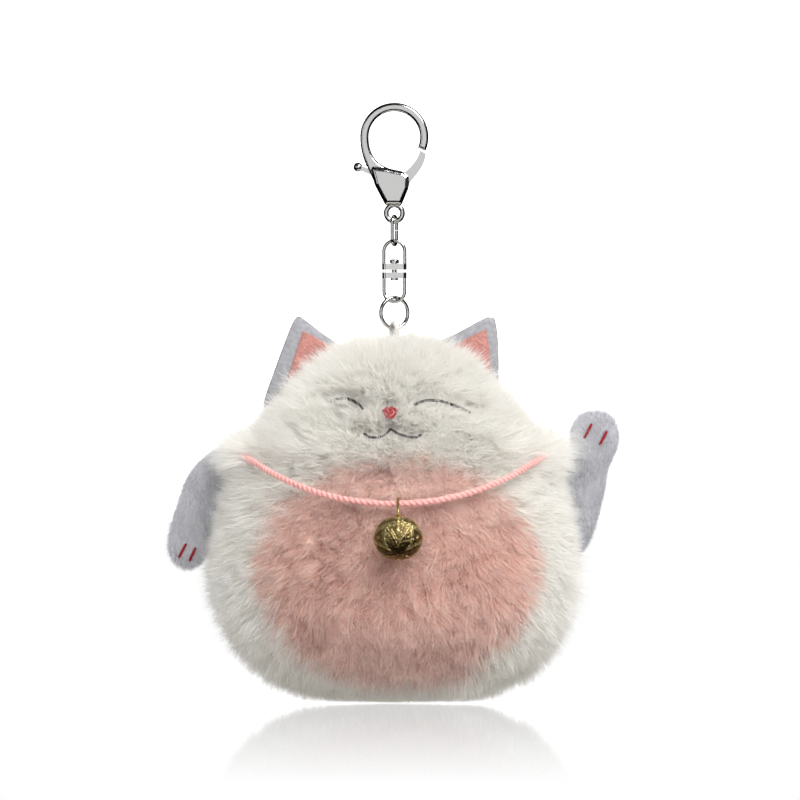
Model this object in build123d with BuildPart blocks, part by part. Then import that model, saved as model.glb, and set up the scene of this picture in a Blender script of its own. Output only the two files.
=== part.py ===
"""A plush cat keychain: a stuffed, egg-shaped cat of long-pile fabric that hangs from a lobster clasp.

Frame, in millimetres: the origin is the centre of the clasp's round hook, +Z is up and the cat faces -Y.
Every fur panel is as thick as its pile, so its outer face is where the pile's tips are.
"""

import os
from math import atan2, cos, degrees, pi, radians, sin, sqrt, tan

from build123d import *

# ---- clasp ----
HOOK_R = 8.2  # inside radius of the hook: the largest rail that it goes round
HOOK_W = 2.7  # width of the hook's bar, seen from the front
HOOK_T = 3.0  # its thickness
HOOK_TIP = -24  # angle of the hook's open end, degrees from +X
BODY_T = 5.4  # thickness of the clasp's drop-shaped body
PIVOT = (1.0, -14.5)  # the gate's pivot, in X and Z
PIN_R = 0.8
GATE_T = 1.9
SLOT_T = 2.2
KNOB = (-11.6, -9.6)
KNOB_R = 1.45
EYE_Z = -24.3
EYE_R = 2.6  # to the middle of its wire
EYE_WIRE = 0.8  # wire radius

# ---- chain ----
WIRE = 0.55  # wire radius of the link and the swivel
LINK_TOP = -25.3  # middle of the wire at each end of the link
LINK_BOTTOM = -34.4
LINK_END_R = 2.05
LINK_YAW = 20
SWIVEL_TOP = -33.15
SWIVEL_R = 3.35  # half the swivel's width, to the middle of its wire
PLATE_T = 1.9
PLATE_W = 2.8
UPPER_PLATE = -41.4  # middle of each plate
LOWER_PLATE = -44.1
SWIVEL_BOTTOM = -52.55
SWIVEL_YAW = -10
RIVET_R = 0.8
RING_WIRE = 0.6
RING_R = 4.9
RING_Z = -56.15
RING_YAW = 29

# ---- cat ----
EGG_R = 59.5
EGG_WIDE_Z = -139.5
EGG_UP = 77.0  # height of its upper part, a half ellipsoid
EGG_DOWN = 40.5  # and of its fuller lower part
EGG_LOWER = ((53.5, -19.5), (38.1, -33.7))  # its outline there, from the middle of the widest section
PILE = 5.0  # thickness of a long-pile panel
NECK_Z = -104.0
BELLY = (2.4, -140.6)  # centre of the belly patch, in X and Z
BELLY_RADII = (44, 36)
BASE_R = 20.0
LOOP_CORD = 0.9  # radius of the white cord that the ring goes through
ARM_T = 8.0
ARM_SKIN = 1.3
ARM_Y = 5.5
EAR_T = 2.2
LINING_T = 0.7
EAR_Y = 1.0
THREAD = 0.55

# ---- neck cord and bell ----
CORD_R = 1.0
BELL = (1.2, -68.5, -127.3)
BELL_R = 7.7
BELL_HALF_HEIGHT = 6.7
BELL_WALL = 0.6
BELL_TILT = 40  # its axis leans back this much, because it lies on the belly
BELL_WIRE = 0.4
PELLET_R = 2.0

os.makedirs("parts", exist_ok=True)


def save(part, name):
    part.label = name
    export_step(part, f"parts/{name}.step")


# ======================= clasp =======================
def clasp_outline():
    """The clasp seen from the front: the hook's bar, the spine and the drop-shaped body."""
    with BuildSketch() as outline:
        with BuildLine():
            outer = CenterArc((0, 0), HOOK_R + HOOK_W, HOOK_TIP, 180 - HOOK_TIP)
            spine = Spline(outer @ 1, (-8.4, -10.5), (-2.7, -21.7), tangents=((0, -1), (0.5, -0.87)))
            foot = Line(spine @ 1, (2.2, -21.7))
            heel = Line(foot @ 1, (4.4, -16.6))
            lobe = ThreePointArc(heel @ 1, (4.8, -13.6), (3.2, -11.4))
            Spline(lobe @ 1, (-2.5, -9.7), (-HOOK_R, 0), tangents=((-0.95, 0.3), (0, 1)))
            inner = CenterArc((0, 0), HOOK_R, 180, HOOK_TIP - 180)
            Line(inner @ 1, outer @ 0)
        make_face()
    return outline.sketch


with BuildPart() as drop:
    with BuildSketch(Plane.XZ) as drop_outline:
        with BuildLine():
            Polyline(
                (-7.9, -9.2), (-6.3, -15.2), (-2.9, -21.7), (2.3, -21.7), (4.5, -16.4), (4.7, -12.6),
                (2.6, -11.0), (-2.6, -9.9), close=True
            )  # fmt: skip
        make_face()
        fillet(drop_outline.vertices(), 1.0)
    extrude(amount=BODY_T / 2, both=True)
    fillet(drop.faces().filter_by(Axis.Y).edges(), 1.6)

with BuildPart() as clasp_body:
    with BuildSketch(Plane.XZ):
        add(clasp_outline())
    extrude(amount=HOOK_T / 2, both=True)
    fillet(clasp_body.faces().filter_by(Axis.Y).edges(), 0.95)
    add(drop.part)
    with Locations(Location((0, 0, EYE_Z), (90, 0, 0))):
        Torus(EYE_R, EYE_WIRE)
        Cylinder(EYE_R - EYE_WIRE, 2 * BODY_T, mode=Mode.SUBTRACT)
    with BuildSketch(Plane.XZ):  # the slot that the gate and its lever move in
        with BuildLine():
            Polyline(
                (-13, -8.2), (-1.2, -11.3), (-1.0, -8.0), (12, -8.0), (12, -19.4), (-13, -18.6), close=True
            )
        make_face()
    extrude(amount=SLOT_T / 2, both=True, mode=Mode.SUBTRACT)
    with Locations(Location((PIVOT[0], 0, PIVOT[1]), (90, 0, 0))):
        Cylinder(PIN_R, 2 * BODY_T, mode=Mode.SUBTRACT)
save(clasp_body.part, "clasp_body")

LEVER_ANGLE = degrees(atan2(KNOB[1] - PIVOT[1], KNOB[0] - PIVOT[0]))
LEVER_LENGTH = sqrt((KNOB[0] - PIVOT[0]) ** 2 + (KNOB[1] - PIVOT[1]) ** 2)
LEVER_W = 1.5

with BuildPart() as clasp_gate:
    with BuildSketch(Plane.XZ):
        with BuildLine():
            inside = Spline((3.3, -11.2), (6.3, -8.2), (8.25, -4.3), tangents=((0.8, 0.6), (0.25, 0.97)))
            tip = Line(inside @ 1, (10.05, -5.3))
            outside = Spline(tip @ 1, (7.7, -11.1), (3.6, -16.2), tangents=((-0.1, -1), (-0.6, -0.8)))
            under = ThreePointArc(outside @ 1, (0.4, -17.2), (-1.7, -14.9))
            Line(under @ 1, (-0.9, -12.4))
            Line((-0.9, -12.4), inside @ 0)
        make_face()
        with Locations(Location((PIVOT[0], PIVOT[1], 0), LEVER_ANGLE)):
            with Locations((LEVER_LENGTH / 2, 0)):
                Rectangle(LEVER_LENGTH, LEVER_W)
    extrude(amount=GATE_T / 2, both=True)
    with Locations((KNOB[0], 0, KNOB[1])):
        Sphere(KNOB_R)
    with Locations(Location((PIVOT[0], 0, PIVOT[1]), (90, 0, 0))):
        Cylinder(PIN_R + 0.05, 2 * GATE_T, mode=Mode.SUBTRACT)
save(clasp_gate.part, "clasp_gate")

with BuildPart() as clasp_pivot_pin:
    with Locations(Location((PIVOT[0], 0, PIVOT[1]), (90, 0, 0))):
        Cylinder(PIN_R, BODY_T - 0.1)
save(clasp_pivot_pin.part, "clasp_pivot_pin")

SPRING_R = 0.8
SPRING_WIRE = 0.16
SPRING_X = -3.0
SPRING_FOOT = -18.75
SPRING_HEIGHT = 4.4

with BuildPart() as clasp_spring:
    with BuildLine() as turns:
        Helix(SPRING_HEIGHT / 5, SPRING_HEIGHT, SPRING_R, center=(SPRING_X, 0, SPRING_FOOT))
    with BuildSketch(Plane(turns.line @ 0, z_dir=turns.line % 0)):
        Circle(SPRING_WIRE)
    sweep(path=turns.line)
save(clasp_spring.part, "clasp_spring")


# ======================= chain =======================
def wire_link(top, bottom, end_radius, wire, yaw, seam):
    """A closed link of round wire with two half-round ends, standing across the YZ plane, with a cut seam."""
    with BuildPart() as link:
        for z, turn in ((top - end_radius, 0), (bottom + end_radius, 180)):
            with BuildSketch(Plane.XY.offset(z)):
                with Locations((0, end_radius)):
                    Circle(wire)
            revolve(axis=Axis((0, 0, z), (1, 0, 0) if turn == 0 else (-1, 0, 0)), revolution_arc=180)
        with BuildSketch(Plane.XY.offset(bottom + end_radius)):
            with Locations((0, end_radius), (0, -end_radius)):
                Circle(wire)
        extrude(amount=top - bottom - 2 * end_radius)
        with Locations((0, end_radius, (top + bottom) / 2)):
            Box(4 * wire, 4 * wire, seam, mode=Mode.SUBTRACT)
    return link.part.rotate(Axis.Z, yaw)


connector_link = wire_link(LINK_TOP, LINK_BOTTOM, LINK_END_R, WIRE, -LINK_YAW, 0.12)
save(connector_link, "connector_link")


def swivel_loop(end_z, plate_z, yaw, bore):
    """A bent wire with a flat plate across its open end. The plate has the rivet's hole."""
    side = 1 if end_z > plate_z else -1
    bend_z = end_z - side * SWIVEL_R
    with BuildPart() as loop:
        with BuildSketch(Plane.XY.offset(bend_z)):
            with Locations((SWIVEL_R, 0)):
                Circle(WIRE)
        revolve(axis=Axis((0, 0, bend_z), (0, -side, 0)), revolution_arc=180)
        with BuildSketch(Plane.XY.offset(bend_z)):
            with Locations((SWIVEL_R, 0), (-SWIVEL_R, 0)):
                Circle(WIRE)
        extrude(amount=abs(plate_z - bend_z), dir=(0, 0, -side))
        with BuildSketch(Plane.XY.offset(plate_z - PLATE_T / 2)):
            SlotOverall(2 * SWIVEL_R + 1.2, PLATE_W)
        extrude(amount=PLATE_T)
        with Locations((0, 0, plate_z)):
            Cylinder(bore, 2 * PLATE_T, mode=Mode.SUBTRACT)
    return loop.part.rotate(Axis.Z, yaw)


save(swivel_loop(SWIVEL_TOP, UPPER_PLATE, 0, RIVET_R + 0.05), "swivel_upper_loop")
save(swivel_loop(SWIVEL_BOTTOM, LOWER_PLATE, SWIVEL_YAW, RIVET_R), "swivel_lower_loop")

HEAD_R = 1.5
HEAD_T = 1.3
HEAD_GAP = 0.12

with BuildPart() as swivel_rivet:
    rivet_foot = LOWER_PLATE - PLATE_T / 2 - 0.7
    rivet_neck = UPPER_PLATE + PLATE_T / 2 + HEAD_GAP
    with BuildSketch(Plane.XY.offset(rivet_foot)):
        Circle(RIVET_R)
    extrude(amount=rivet_neck - rivet_foot + 0.1)
    with BuildSketch(Plane.XY.offset(rivet_neck)):
        Circle(HEAD_R)
    extrude(amount=HEAD_T)
    fillet(swivel_rivet.edges().filter_by(GeomType.CIRCLE).sort_by(Axis.Z)[-1], 0.5)
    with BuildSketch(Plane.XY.offset(rivet_foot)):
        Circle(HEAD_R - 0.3)
        Circle(RIVET_R, mode=Mode.SUBTRACT)
    extrude(amount=0.7)
save(swivel_rivet.part, "swivel_rivet")

with BuildPart() as jump_ring:
    with Locations(Location((0, 0, RING_Z), (90, 0, 0))):
        Torus(RING_R, RING_WIRE)
    with Locations(Location((0, 0, RING_Z), (0, 50, 0))):  # the ring's joint, up on the left
        with Locations((-RING_R, 0, 0)):
            Box(4 * RING_WIRE, 4 * RING_WIRE, 0.15, mode=Mode.SUBTRACT)
save(jump_ring.part.rotate(Axis.Z, RING_YAW), "jump_ring")


# ======================= cat: stuffed body =======================
def egg(inset):
    """The cat's stuffed shape, a round egg, set in from the tips of its pile."""
    radius, up = EGG_R - inset, EGG_UP - inset
    k = radius / EGG_R
    angles = [radians(t) for t in (90, 65, 40, 20, 0)]
    upper = [(radius * cos(t), EGG_WIDE_Z + up * sin(t)) for t in angles]
    lower = [(k * x, EGG_WIDE_Z + k * z) for x, z in EGG_LOWER]
    with BuildPart() as solid:
        with BuildSketch(Plane.XZ):
            with BuildLine():
                outline = Spline(*upper, *lower, (0, EGG_WIDE_Z - k * EGG_DOWN), tangents=((1, 0), (-1, 0)))
                Line(outline @ 1, outline @ 0)
            make_face()
        revolve(axis=Axis.Z)
    return solid.part


stuffed = egg(0)
filling = egg(PILE)

with BuildPart() as fur:
    add(stuffed)
    add(filling, mode=Mode.SUBTRACT)

with BuildPart() as belly_cutter:
    with BuildSketch(Plane.XZ.offset(BASE_R + 0.5)):
        with Locations(BELLY):
            Ellipse(*BELLY_RADII)
    extrude(amount=EGG_R)

with BuildPart() as base_cutter:
    with Locations((0, 0, EGG_WIDE_Z - EGG_DOWN)):
        Cylinder(BASE_R, 30)

with BuildPart() as body_fur:
    add(fur.part)
    split(bisect_by=Plane.XY.offset(NECK_Z), keep=Keep.BOTTOM)

with BuildPart() as face_panel:
    add(fur.part)
    split(bisect_by=Plane.XY.offset(NECK_Z), keep=Keep.TOP)
    split(bisect_by=Plane.XZ, keep=Keep.TOP)
save(face_panel.part, "face_panel")

with BuildPart() as head_back_panel:
    add(fur.part)
    split(bisect_by=Plane.XY.offset(NECK_Z), keep=Keep.TOP)
    split(bisect_by=Plane.XZ, keep=Keep.BOTTOM)
save(head_back_panel.part, "head_back_panel")

with BuildPart() as belly_panel:
    add(body_fur.part)
    add(belly_cutter.part, mode=Mode.INTERSECT)
save(belly_panel.part, "belly_panel")

with BuildPart() as base_panel:
    add(body_fur.part)
    add(base_cutter.part, mode=Mode.INTERSECT)
save(base_panel.part, "base_panel")

for side, kept in (("left", Keep.BOTTOM), ("right", Keep.TOP)):
    with BuildPart() as body_panel:
        add(body_fur.part)
        add(belly_cutter.part, mode=Mode.SUBTRACT)
        add(base_cutter.part, mode=Mode.SUBTRACT)
        split(bisect_by=Plane.YZ, keep=kept)
    save(body_panel.part, f"body_{side}_panel")

with BuildPart() as body_stuffing:
    add(filling)
save(body_stuffing.part, "body_stuffing")

# the white cord loop that is sewn into the top of the head and goes through the ring
LOOP_Z = RING_Z - RING_R
LOOP_R = RING_WIRE + LOOP_CORD + 0.15
LOOP_FOOT = -66.3

with BuildPart() as hanging_loop:
    with BuildSketch(Plane.XY.offset(LOOP_Z)):
        with Locations((0, LOOP_R)):
            Circle(LOOP_CORD)
    revolve(axis=Axis((0, 0, LOOP_Z), (1, 0, 0)), revolution_arc=180)
    with BuildSketch(Plane.XY.offset(LOOP_Z)):
        with Locations((0, LOOP_R), (0, -LOOP_R)):
            Circle(LOOP_CORD)
    extrude(amount=LOOP_FOOT - LOOP_Z)
save(hanging_loop.part.rotate(Axis.Z, RING_YAW), "hanging_loop")


# ======================= cat: embroidered face =======================
def on_face(x, z, proud):
    """A point over the cat's upper half, that far proud of it."""
    radius = (EGG_R + proud) * sqrt(1 - ((z - EGG_WIDE_Z) / (EGG_UP + proud)) ** 2)
    return (x, -sqrt(radius**2 - x**2), z)


def stitched(*arcs):
    """Satin stitch along arcs over the face, each given by three points in X and Z."""
    with BuildPart() as stitches:
        for arc in arcs:
            with BuildLine() as line:
                ThreePointArc(*[on_face(x, z, THREAD + 0.25) for x, z in arc])
            with BuildSketch(Plane(line.line @ 0, z_dir=line.line % 0)):
                Circle(THREAD)
            sweep(path=line.line)
    return stitches.part


MOUTH_PEAK = (-1.1, -93.3)
save(stitched(((-20.5, -85.0), (-14.5, -82.9), (-9.7, -86.4))), "eye_left_stitching")
save(stitched(((6.4, -85.4), (12.6, -83.4), (21.0, -86.4))), "eye_right_stitching")
save(
    stitched(
        ((-9.6, -94.4), (-5.4, -95.9), MOUTH_PEAK),
        (MOUTH_PEAK, (4.4, -95.8), (8.6, -94.6)),
    ),
    "mouth_stitching",
)

NOSE = (-1.3, -88.0)
NOSE_SLOPE = 0.7  # how far the face leans back there, per millimetre up
NOSE_T = 1.2

with BuildPart() as nose_stitching:
    with BuildSketch(Plane(on_face(*NOSE, 0.3), x_dir=(1, 0, 0), z_dir=(0, -1, NOSE_SLOPE))):
        Polygon((-2.45, 1.9), (2.45, 1.9), (0.3, -2.6), (-0.3, -2.6), align=None)
    extrude(amount=NOSE_T)
save(nose_stitching.part, "nose_stitching")


# ======================= cat: arms and tail =======================
# Each arm's outline in X and Z: its outer side from the shoulder to the far end, then its inner side back.
LEFT_ARM = (
    ((-53.8, -102.2), (-59.4, -105.4), (-67.3, -115.6), (-71.6, -129.0), (-70.0, -135.6), (-66.0, -137.0)),
    ((-66.0, -137.0), (-62.3, -134.4), (-60.1, -125.0), (-57.2, -112.0), (-53.8, -102.2)),
)
RIGHT_ARM = (
    ((54.8, -105.0), (56.7, -98.0), (59.0, -90.9), (64.0, -88.5), (69.7, -91.0), (70.9, -98.6), (66.9, -112.0),
     (61.8, -128.6)),
    ((61.8, -128.6), (59.8, -121.5), (57.5, -113.0), (54.8, -105.0)),
)  # fmt: skip


CLAWS = {
    "left": ((-67.4, -132.4), (-64.2, -134.0)),
    "right": ((61.7, -93.7), (66.7, -96.2)),
}
CLAW_LENGTH = 4.6
CLAW_R = 0.4
CLAW_LEAN = 28  # degrees from upright

for side, (outer_side, inner_side) in (("left", LEFT_ARM), ("right", RIGHT_ARM)):
    with BuildPart() as arm_stuffing:
        with BuildSketch(Plane.XZ.offset(-ARM_Y)):
            with BuildLine():
                Polyline(*outer_side, *inner_side[1:])
            make_face()
            offset(amount=-ARM_SKIN, kind=Kind.INTERSECTION)
        extrude(amount=ARM_T / 2 - ARM_SKIN, both=True)
    save(arm_stuffing.part, f"arm_{side}_stuffing")
    with BuildPart() as arm_skin:
        with BuildSketch(Plane.XZ.offset(-ARM_Y)):
            with BuildLine():
                Spline(*outer_side)
                Spline(*inner_side)
            make_face()
        extrude(amount=ARM_T / 2, both=True)
        add(arm_stuffing.part, mode=Mode.SUBTRACT)
    save(arm_skin.part, f"arm_{side}_skin")
    with BuildPart() as claws:
        for x, z in CLAWS[side]:
            with Locations(Location((x, ARM_Y - ARM_T / 2 - CLAW_R - 0.05, z), (0, CLAW_LEAN, 0))):
                Cylinder(CLAW_R, CLAW_LENGTH)
    save(claws.part, f"arm_{side}_claw_stitches")

TAIL_FROM = (10, 40, -164)
TAIL_TO = (27.5, 22, -173.0)
TAIL_R = 6.4

with BuildPart() as tail:
    with BuildLine() as tail_line:
        Line(TAIL_FROM, TAIL_TO)
    with BuildSketch(Plane(TAIL_FROM, z_dir=tail_line.line % 0)):
        Circle(TAIL_R)
    sweep(path=tail_line.line)
    with Locations(TAIL_FROM, TAIL_TO):
        Sphere(TAIL_R)
    add(stuffed, mode=Mode.SUBTRACT)
save(tail.part, "tail")

# ======================= cat: ears =======================
EAR_LEFT = ((-31.4, -57.0), (-14.6, -67.6), (-29.0, -72.0), (-42.6, -86.0))
EAR_RIGHT = ((31.0, -57.2), (35.9, -79.6), (26.0, -71.0), (13.6, -66.6))
EAR_BORDER = 2.3
EAR_GAP = 1.0  # the ear's foot stands this far off the head


def ear_outline(corners, inset):
    tip, foot_a, between, foot_b = corners
    with BuildSketch() as outline:
        with BuildLine():
            Polyline(tip, foot_a, between, foot_b, close=True)
        make_face()
        if inset:
            offset(amount=-inset, kind=Kind.INTERSECTION)
        fillet(outline.vertices().sort_by(Axis.Y)[-1], 1.2)
    return outline.sketch


clearance = egg(-EAR_GAP)

for side, corners in (("left", EAR_LEFT), ("right", EAR_RIGHT)):
    with BuildPart() as ear_back:
        with BuildSketch(Plane.XZ.offset(-EAR_Y)):
            add(ear_outline(corners, 0))
        extrude(amount=EAR_T)
        add(clearance, mode=Mode.SUBTRACT)
    save(ear_back.part, f"ear_{side}_felt")
    with BuildPart() as ear_lining:
        with BuildSketch(Plane.XZ.offset(EAR_T - EAR_Y)):
            add(ear_outline(corners, EAR_BORDER))
        extrude(amount=LINING_T)
        add(clearance, mode=Mode.SUBTRACT)
    save(ear_lining.part, f"ear_{side}_lining")

# ======================= neck cord =======================
# Half of the route, from beside the knot at the nape round to the middle of the chest.
CORD_HALF = (
    (1.7, 52.9, -98.6), (21.5, 48.3, -98.6), (39.3, 35.4, -98.8), (50.5, 16.4, -99.2),
    (53.5, -5.6, -100.4), (47.8, -26.5, -102.8), (36.9, -43.4, -108.4), (20.6, -55.7, -114.6),
)  # fmt: skip
CORD_FRONT = (0, -60.7, -117.2)
CORD_ROUTE = (*CORD_HALF, CORD_FRONT, *[(-x, y, z) for x, y, z in reversed(CORD_HALF)])


def bend_radii(route):
    """Each corner's arc: 0.45 of the shorter of its two runs, over the tangent of half the turn."""
    radii = []
    for before, here, after in zip(route, route[1:], route[2:]):
        arriving, leaving = Vector(here) - Vector(before), Vector(after) - Vector(here)
        half_turn = radians(arriving.get_angle(leaving)) / 2
        radii.append(0.45 * min(arriving.length, leaving.length) / tan(half_turn))
    return radii


cord_radii = bend_radii(CORD_ROUTE)
print("neck cord radii", [round(r, 1) for r in cord_radii])

with BuildPart() as neck_cord:
    with BuildLine() as route:
        FilletPolyline(*CORD_ROUTE, radius=cord_radii)
    with BuildSketch(Plane(route.line @ 0, z_dir=route.line % 0)):
        Circle(CORD_R)
    sweep(path=route.line)
cord_length = route.wire().length
print("neck cord length", round(cord_length, 1))
cord_section = pi * CORD_R**2
print("its volume over section times length", round(neck_cord.part.volume / (cord_section * cord_length), 4))
save(neck_cord.part, "neck_cord")

KNOT = (0, 53.6, -98.6)
KNOT_R = 2.4
END_LENGTH = 11.0
END_SPREAD = 0.6  # sideways, per millimetre down
END_LEAN = 0.5  # and backwards

with BuildPart() as cord_knot:
    with Locations(KNOT):
        Sphere(KNOT_R)
save(cord_knot.part, "cord_knot")

with BuildPart() as cord_ends:
    for side in (-1, 1):
        with BuildSketch(Plane(KNOT, z_dir=(side * END_SPREAD, END_LEAN, -1)).offset(KNOT_R)):
            Circle(CORD_R)
        extrude(amount=END_LENGTH)
save(cord_ends.part, "cord_ends")

# ======================= bell =======================
bell_frame = Plane(BELL, x_dir=(1, 0, 0), z_dir=(0, sin(radians(BELL_TILT)), cos(radians(BELL_TILT))))


def bell_half(upper):
    """Half of the bell's thin shell, in its own frame: Z along its axis."""
    side = 1 if upper else -1
    with BuildPart() as half:
        outside = scale(
            Sphere(1, mode=Mode.PRIVATE), by=(BELL_R, BELL_R, BELL_HALF_HEIGHT), mode=Mode.PRIVATE
        )
        inside = scale(
            Sphere(1, mode=Mode.PRIVATE),
            by=(BELL_R - BELL_WALL, BELL_R - BELL_WALL, BELL_HALF_HEIGHT - BELL_WALL),
            mode=Mode.PRIVATE,
        )
        add(outside)
        add(inside, mode=Mode.SUBTRACT)
        split(bisect_by=Plane.XY, keep=Keep.TOP if upper else Keep.BOTTOM)
        with Locations((0, 0, side * 0.35)):  # the rolled rim where the halves are crimped together
            Cylinder(BELL_R + 0.15, 0.7)
            Cylinder(BELL_R - BELL_WALL, 0.8, mode=Mode.SUBTRACT)
    return bell_frame.location * half.part


save(bell_half(True), "bell_upper_half")
save(bell_half(False), "bell_lower_half")

EYELET_R = 1.1
EYELET_Z = BELL_HALF_HEIGHT + EYELET_R + BELL_WIRE + 0.02

with BuildPart() as bell_eyelet:
    with Locations(Location((0, 0, EYELET_Z), (90, 0, 0))):
        Torus(EYELET_R, BELL_WIRE)
save(bell_frame.location * bell_eyelet.part, "bell_eyelet")

RING_LOW = EYELET_Z + EYELET_R - 2 * BELL_WIRE - 0.12  # middle of the wire inside the eyelet
CORD_AT_BELL = Vector(BELL[0], -59.5, -116.5)
RING_HIGH = bell_frame.to_local_coords(CORD_AT_BELL).Z + CORD_R + BELL_WIRE + 0.35
BELL_RING_R = CORD_R + BELL_WIRE + 0.45

bell_ring = bell_frame.location * wire_link(RING_HIGH, RING_LOW, BELL_RING_R, BELL_WIRE, 0, 0.08)
save(bell_ring, "bell_ring")

with BuildPart() as bell_pellet:
    with Locations((BELL[0], BELL[1], BELL[2] - (BELL_HALF_HEIGHT - BELL_WALL - PELLET_R - 0.15))):
        Sphere(PELLET_R)
save(bell_pellet.part, "bell_pellet")
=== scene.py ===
"""Looks for the plush cat keychain: a cat in long pile made of mesh strands, on nickel-plated hardware."""

import math

import bpy
import numpy as np
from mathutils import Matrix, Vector, kdtree


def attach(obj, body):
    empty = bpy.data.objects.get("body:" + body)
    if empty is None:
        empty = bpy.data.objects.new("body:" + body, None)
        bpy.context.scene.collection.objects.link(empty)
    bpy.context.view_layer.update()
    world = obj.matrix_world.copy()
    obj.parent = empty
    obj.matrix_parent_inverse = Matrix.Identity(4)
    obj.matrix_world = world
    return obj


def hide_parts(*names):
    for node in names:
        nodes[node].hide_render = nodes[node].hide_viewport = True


MM = 0.001
rng = np.random.default_rng(7)
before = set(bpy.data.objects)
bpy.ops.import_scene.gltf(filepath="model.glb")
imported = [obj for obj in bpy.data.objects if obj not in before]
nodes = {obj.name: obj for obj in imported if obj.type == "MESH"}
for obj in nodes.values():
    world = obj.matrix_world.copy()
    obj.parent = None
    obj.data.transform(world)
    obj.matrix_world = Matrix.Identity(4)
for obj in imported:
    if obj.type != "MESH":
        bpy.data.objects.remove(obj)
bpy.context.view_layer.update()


# ------------------------------------------------------------------ materials
def material(name, color, rough=0.8, metal=0.0, **sockets):
    mat = bpy.data.materials.new(name)
    mat.use_nodes = True
    shader = mat.node_tree.nodes["Principled BSDF"]
    shader.inputs["Base Color"].default_value = (*color, 1)
    shader.inputs["Roughness"].default_value = rough
    shader.inputs["Metallic"].default_value = metal
    for socket, value in sockets.items():
        shader.inputs[socket.replace("_", " ")].default_value = value
    return mat


def add_node(mat, kind, **values):
    node = mat.node_tree.nodes.new(kind)
    for key, value in values.items():
        if hasattr(node, key):
            setattr(node, key, value)
        else:
            node.inputs[key].default_value = value
    return node


def color_from_attribute(mat, attribute="tint"):
    """The base colour is the mesh's own colour attribute."""
    read = add_node(mat, "ShaderNodeAttribute", attribute_name=attribute)
    shader = mat.node_tree.nodes["Principled BSDF"]
    mat.node_tree.links.new(read.outputs["Color"], shader.inputs["Base Color"])


def fur_material(name, glow=0.34):
    """Thin strands: coloured root to tip, and partly lit through."""
    mat = material(name, (0.8, 0.8, 0.8), 0.62, Sheen_Weight=0.25, Specular_IOR_Level=0.35)
    color_from_attribute(mat)
    tree = mat.node_tree
    shader, out = tree.nodes["Principled BSDF"], tree.nodes["Material Output"]
    read = next(n for n in tree.nodes if n.type == "ATTRIBUTE")
    through = add_node(mat, "ShaderNodeBsdfTranslucent")
    mix = add_node(mat, "ShaderNodeMixShader", Fac=glow)
    tree.links.new(read.outputs["Color"], through.inputs["Color"])
    tree.links.new(shader.outputs[0], mix.inputs[1])
    tree.links.new(through.outputs[0], mix.inputs[2])
    tree.links.new(mix.outputs[0], out.inputs["Surface"])
    return mat


def bump(mat, scale, strength, distance, kind="ShaderNodeTexNoise", **values):
    tree = mat.node_tree
    place = add_node(mat, "ShaderNodeTexCoord")
    texture = add_node(mat, kind, **values)
    texture.inputs["Scale"].default_value = scale
    dent = add_node(mat, "ShaderNodeBump", Strength=strength, Distance=distance)
    tree.links.new(place.outputs["Object"], texture.inputs["Vector"])
    tree.links.new(texture.outputs[0], dent.inputs["Height"])
    tree.links.new(dent.outputs["Normal"], tree.nodes["Principled BSDF"].inputs["Normal"])


def mottled(mat, scale, dark=0.78):
    """Dyed cloth and thread: the colour varies a little from place to place."""
    tree, shader = mat.node_tree, mat.node_tree.nodes["Principled BSDF"]
    color = shader.inputs["Base Color"].default_value[:3]
    place = add_node(mat, "ShaderNodeTexCoord")
    noise = add_node(mat, "ShaderNodeTexNoise", Scale=scale, Detail=4.0)
    shades = add_node(mat, "ShaderNodeValToRGB")
    for stop, at, share in zip(shades.color_ramp.elements, (0.32, 0.68), (dark, 1.06)):
        stop.position, stop.color = at, (*(min(c * share, 1) for c in color), 1)
    tree.links.new(place.outputs["Object"], noise.inputs["Vector"])
    tree.links.new(noise.outputs[0], shades.inputs[0])
    tree.links.new(shades.outputs[0], shader.inputs["Base Color"])


FUR = fur_material("long_pile")
PLUSH = fur_material("short_pile", 0.2)
CLOTH_BASE = material("backing_cloth", (0.70, 0.66, 0.60), 0.95)
color_from_attribute(CLOTH_BASE)
CHROME = material("nickel_plate", (0.74, 0.735, 0.73), 0.13, 1.0)
bump(CHROME, 500, 0.05, 0.00003)
CAST = material("nickel_cast", (0.74, 0.735, 0.73), 0.16, 1.0)
bump(CAST, 110, 0.5, 0.0005)
SATIN = material("nickel_satin", (0.74, 0.74, 0.76), 0.22, 1.0)
bump(SATIN, 900, 0.12, 0.00004)
STEEL = material("spring_steel", (0.45, 0.45, 0.47), 0.3, 1.0)
bump(STEEL, 900, 0.1, 0.00004)
# painted shade: the white cord is given an even grey, darker than its own white, to stand in for its shade
WHITE_CORD_WITH_PAINTED_SHADE = material("white_cord", (0.70, 0.685, 0.65), 0.8, Sheen_Weight=0.3)
mottled(WHITE_CORD_WITH_PAINTED_SHADE, 900)
YARN = material("pink_yarn", (0.80, 0.42, 0.37), 0.85, Sheen_Weight=0.4)
mottled(YARN, 900)
bump(YARN, 1800, 0.6, 0.0002, "ShaderNodeTexWave")
YARN_PLIES = material("pink_yarn_plies", (0.8, 0.45, 0.40), 0.85, Sheen_Weight=0.4)
color_from_attribute(YARN_PLIES)
FELT = material("grey_felt", (0.34, 0.34, 0.36), 0.95, Sheen_Weight=0.15)
mottled(FELT, 700)
bump(FELT, 1500, 0.5, 0.0002)
LINING = material("pink_lining", (0.53, 0.235, 0.20), 0.9, Sheen_Weight=0.1)
mottled(LINING, 500)
bump(LINING, 1100, 1.0, 0.0004, "ShaderNodeTexVoronoi")
RED = material("red_thread", (0.31, 0.010, 0.016), 0.6, Specular_IOR_Level=0.25)
mottled(RED, 1500)
DARK = material("dark_thread", (0.030, 0.017, 0.013), 0.65)
mottled(DARK, 1500)
BRASS = material("antique_brass", (0.52, 0.36, 0.15), 0.40, 1.0)
color_from_attribute(BRASS)
bump(BRASS, 1100, 0.8, 0.0004, "ShaderNodeTexVoronoi")
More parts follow.
